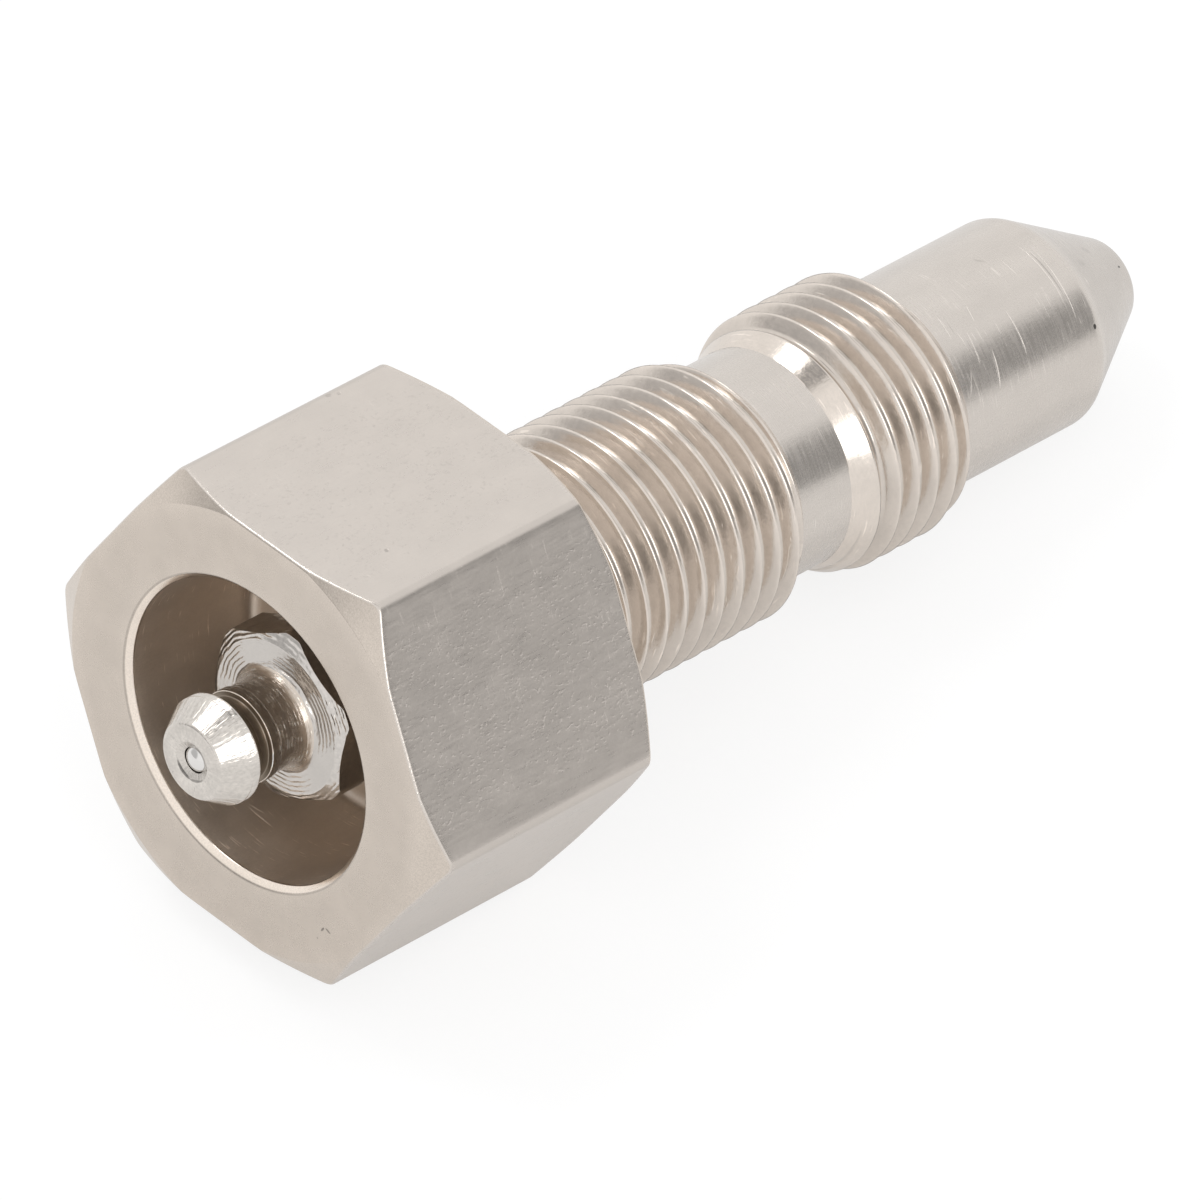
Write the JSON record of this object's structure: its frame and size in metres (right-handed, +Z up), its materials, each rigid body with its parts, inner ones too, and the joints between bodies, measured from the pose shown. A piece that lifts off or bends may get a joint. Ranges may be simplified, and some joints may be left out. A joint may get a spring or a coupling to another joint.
{
  "type": "grease valve",
  "caption": "Grease valve with a hexagon head that holds a recessed grease nipple, a twice-threaded shank with a relief groove, a plain nose and a sealing cone.",
  "frame": {"origin": "middle of the valve's length and width on the surface it lies on", "axes": "+X from the head face toward the tip, +Z up; the valve lies on the rear edge of its lowest head flat and on its nose shoulder, so its axis dips toward the tip"},
  "size_m": [0.0726, 0.031, 0.0294],
  "materials": {
    "nickel_plated_steel": "satin nickel plating over turned and milled steel",
    "bright_plated_steel": "bright plating with turning rings",
    "polished_ball": "polished",
    "spring_wire": "drawn wire"
  },
  "bodies": {
    "valve": {"valve_body": "nickel_plated_steel", "nipple_body": "bright_plated_steel", "nipple_spring": "spring_wire"},
    "check_ball": {"nipple_ball": "polished_ball"}
  },
  "joints": [
    {"name": "ball_slide", "type": "slide", "parent": "valve", "child": "check_ball", "axis": [0.9877, 0, -0.1563], "range_m": [0, 0.0008], "stiffness_N_per_m": 300, "springref_m": -0.001, "deforming": ["nipple_spring"]}
  ]
}
